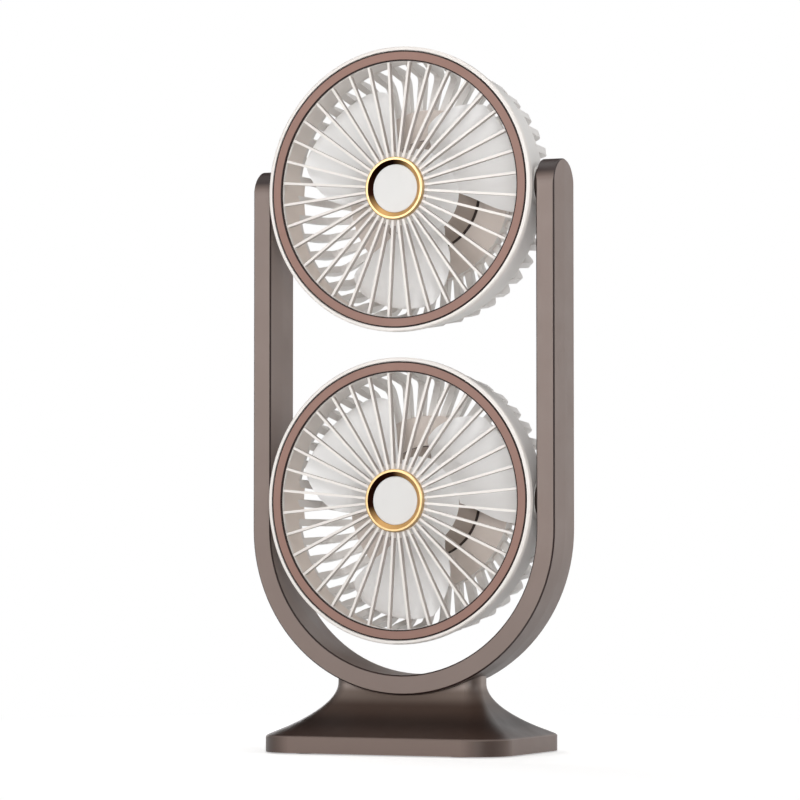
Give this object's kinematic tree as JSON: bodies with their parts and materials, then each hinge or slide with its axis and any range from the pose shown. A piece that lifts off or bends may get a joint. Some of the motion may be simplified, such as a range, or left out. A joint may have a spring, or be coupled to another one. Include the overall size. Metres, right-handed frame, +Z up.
{
  "type": "dual-head table fan",
  "caption": "Table fan with round grilled heads stacked in a tall U-shaped yoke; each head tilts by itself and has its own impeller, above a flared pedestal.",
  "frame": {"origin": "centre of the rectangle that the base covers, on the plane that the four feet stand on", "axes": "+Z up the yoke, +X to the fan's right along the tilt axes, -Y to the front of the heads"},
  "size_m": [0.1734, 0.0986, 0.3699],
  "materials": {
    "white_shell": "satin moulded",
    "white_trim": "satin moulded",
    "blade_plastic": "satin moulded",
    "brown_shell": "fine satin",
    "rose_trim": "satin painted",
    "gold_trim": "polished plating",
    "dark_plastic": "matt",
    "foot_rubber": "matt",
    "weight_iron": "plain",
    "circuit_board": "lacquered",
    "bright_steel": "ground",
    "screw_steel": "zinc plated",
    "magnet": "bonded ferrite",
    "winding_core": "lacquered",
    "bronze": "sintered",
    "bush_nylon": "natural nylon"
  },
  "bodies": {
    "stand": {"base_shell": "brown_shell", "base_cover": "dark_plastic", "feet": "foot_rubber", "base_weight": "weight_iron", "control_board": "circuit_board", "tact_switches": "dark_plastic", "usb_inlet": "bright_steel", "yoke_front_shell": "brown_shell", "yoke_rear_shell": "brown_shell", "yoke_screws": "screw_steel", "neck_screws": "screw_steel", "cover_screws": "screw_steel", "upper_pivot_bushes": "bush_nylon", "upper_pivot_washers": "dark_plastic", "lower_pivot_bushes": "bush_nylon", "lower_pivot_washers": "dark_plastic"},
    "upper_head": {"upper_front_grille": "white_shell", "upper_bezel_ring": "rose_trim", "upper_hub_ring": "gold_trim", "upper_hub_cap": "white_trim", "upper_drum": "white_shell", "upper_rear_grille": "white_shell", "upper_rear_cap": "white_shell", "upper_rear_cap_screws": "screw_steel", "upper_shaft_bushes": "bronze", "upper_stator": "winding_core", "upper_motor_board": "circuit_board"},
    "upper_rotor": {"upper_impeller": "blade_plastic", "upper_rotor_shaft": "bright_steel", "upper_magnet_ring": "magnet"},
    "upper_key": {"upper_button": "white_trim"},
    "lower_head": {"lower_front_grille": "white_shell", "lower_bezel_ring": "rose_trim", "lower_hub_ring": "gold_trim", "lower_hub_cap": "white_trim", "lower_drum": "white_shell", "lower_rear_grille": "white_shell", "lower_rear_cap": "white_shell", "lower_rear_cap_screws": "screw_steel", "lower_shaft_bushes": "bronze", "lower_stator": "winding_core", "lower_motor_board": "circuit_board"},
    "lower_rotor": {"lower_impeller": "blade_plastic", "lower_rotor_shaft": "bright_steel", "lower_magnet_ring": "magnet"},
    "lower_key": {"lower_button": "white_trim"}
  },
  "joints": [
    {"name": "upper_tilt", "type": "hinge", "parent": "stand", "child": "upper_head", "pos_m": [0, 0, 0.2949], "axis": [1, 0, 0], "range_deg": [-90, 90]},
    {"name": "upper_spin", "type": "hinge", "parent": "upper_head", "child": "upper_rotor", "pos_m": [0, 0, 0.2949], "axis": [0, 1, 0], "continuous": true},
    {"name": "lower_tilt", "type": "hinge", "parent": "stand", "child": "lower_head", "pos_m": [0, 0, 0.1315], "axis": [1, 0, 0], "range_deg": [-90, 90]},
    {"name": "lower_spin", "type": "hinge", "parent": "lower_head", "child": "lower_rotor", "pos_m": [0, 0, 0.1315], "axis": [0, 1, 0], "continuous": true},
    {"name": "upper_press", "type": "slide", "parent": "stand", "child": "upper_key", "axis": [0, -1, 0], "range_m": [0, 0.0008], "stiffness_N_per_m": 1500, "springref_m": -0.0005},
    {"name": "lower_press", "type": "slide", "parent": "stand", "child": "lower_key", "axis": [0, -1, 0], "range_m": [0, 0.0008], "stiffness_N_per_m": 1500, "springref_m": -0.0005}
  ]
}
